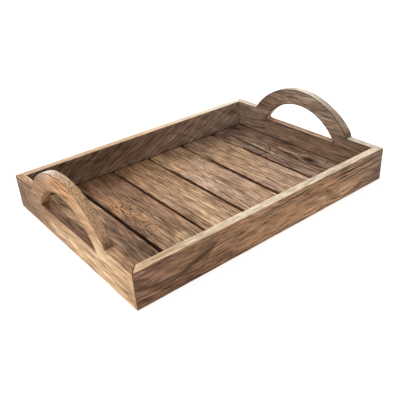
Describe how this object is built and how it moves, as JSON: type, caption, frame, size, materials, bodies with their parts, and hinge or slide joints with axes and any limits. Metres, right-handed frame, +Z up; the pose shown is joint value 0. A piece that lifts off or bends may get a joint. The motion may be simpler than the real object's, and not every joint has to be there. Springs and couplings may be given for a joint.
{
  "type": "serving tray",
  "caption": "Rectangular wooden serving tray with mitred walls, an open slatted floor and an arched handle with a hand hole on each short end.",
  "frame": {"origin": "middle of the tray's footprint, on the surface it stands on", "axes": "+X along the tray from the left handle to the right one, +Y across it to the back wall, +Z up"},
  "size_m": [0.42, 0.3, 0.1],
  "materials": {
    "side_board_wood": "brown stained hardwood, satin, with streaked grain",
    "end_board_wood": "light brown stained hardwood, satin",
    "slat_wood": "mid brown stained hardwood with open pores, satin",
    "brad_steel": "bright drawn wire"
  },
  "bodies": {
    "root": {"front_side_board": "side_board_wood", "back_side_board": "side_board_wood", "left_end_board": "end_board_wood", "right_end_board": "end_board_wood", "floor_slat_1": "slat_wood", "floor_slat_2": "slat_wood", "floor_slat_3": "slat_wood", "floor_slat_4": "slat_wood", "floor_slat_5": "slat_wood", "floor_slat_6": "slat_wood", "slat_brad_front_1": "brad_steel", "slat_brad_front_2": "brad_steel", "slat_brad_front_3": "brad_steel", "slat_brad_front_4": "brad_steel", "slat_brad_front_5": "brad_steel", "slat_brad_front_6": "brad_steel", "slat_brad_front_7": "brad_steel", "slat_brad_front_8": "brad_steel", "slat_brad_front_9": "brad_steel", "slat_brad_front_10": "brad_steel", "slat_brad_front_11": "brad_steel", "slat_brad_front_12": "brad_steel", "slat_brad_back_1": "brad_steel", "slat_brad_back_2": "brad_steel", "slat_brad_back_3": "brad_steel", "slat_brad_back_4": "brad_steel", "slat_brad_back_5": "brad_steel", "slat_brad_back_6": "brad_steel", "slat_brad_back_7": "brad_steel", "slat_brad_back_8": "brad_steel", "slat_brad_back_9": "brad_steel", "slat_brad_back_10": "brad_steel", "slat_brad_back_11": "brad_steel", "slat_brad_back_12": "brad_steel", "corner_brad_front_left_lower": "brad_steel", "corner_brad_front_left_upper": "brad_steel", "corner_brad_back_left_lower": "brad_steel", "corner_brad_back_left_upper": "brad_steel", "corner_brad_front_right_lower": "brad_steel", "corner_brad_front_right_upper": "brad_steel", "corner_brad_back_right_lower": "brad_steel", "corner_brad_back_right_upper": "brad_steel"}
  },
  "joints": []
}
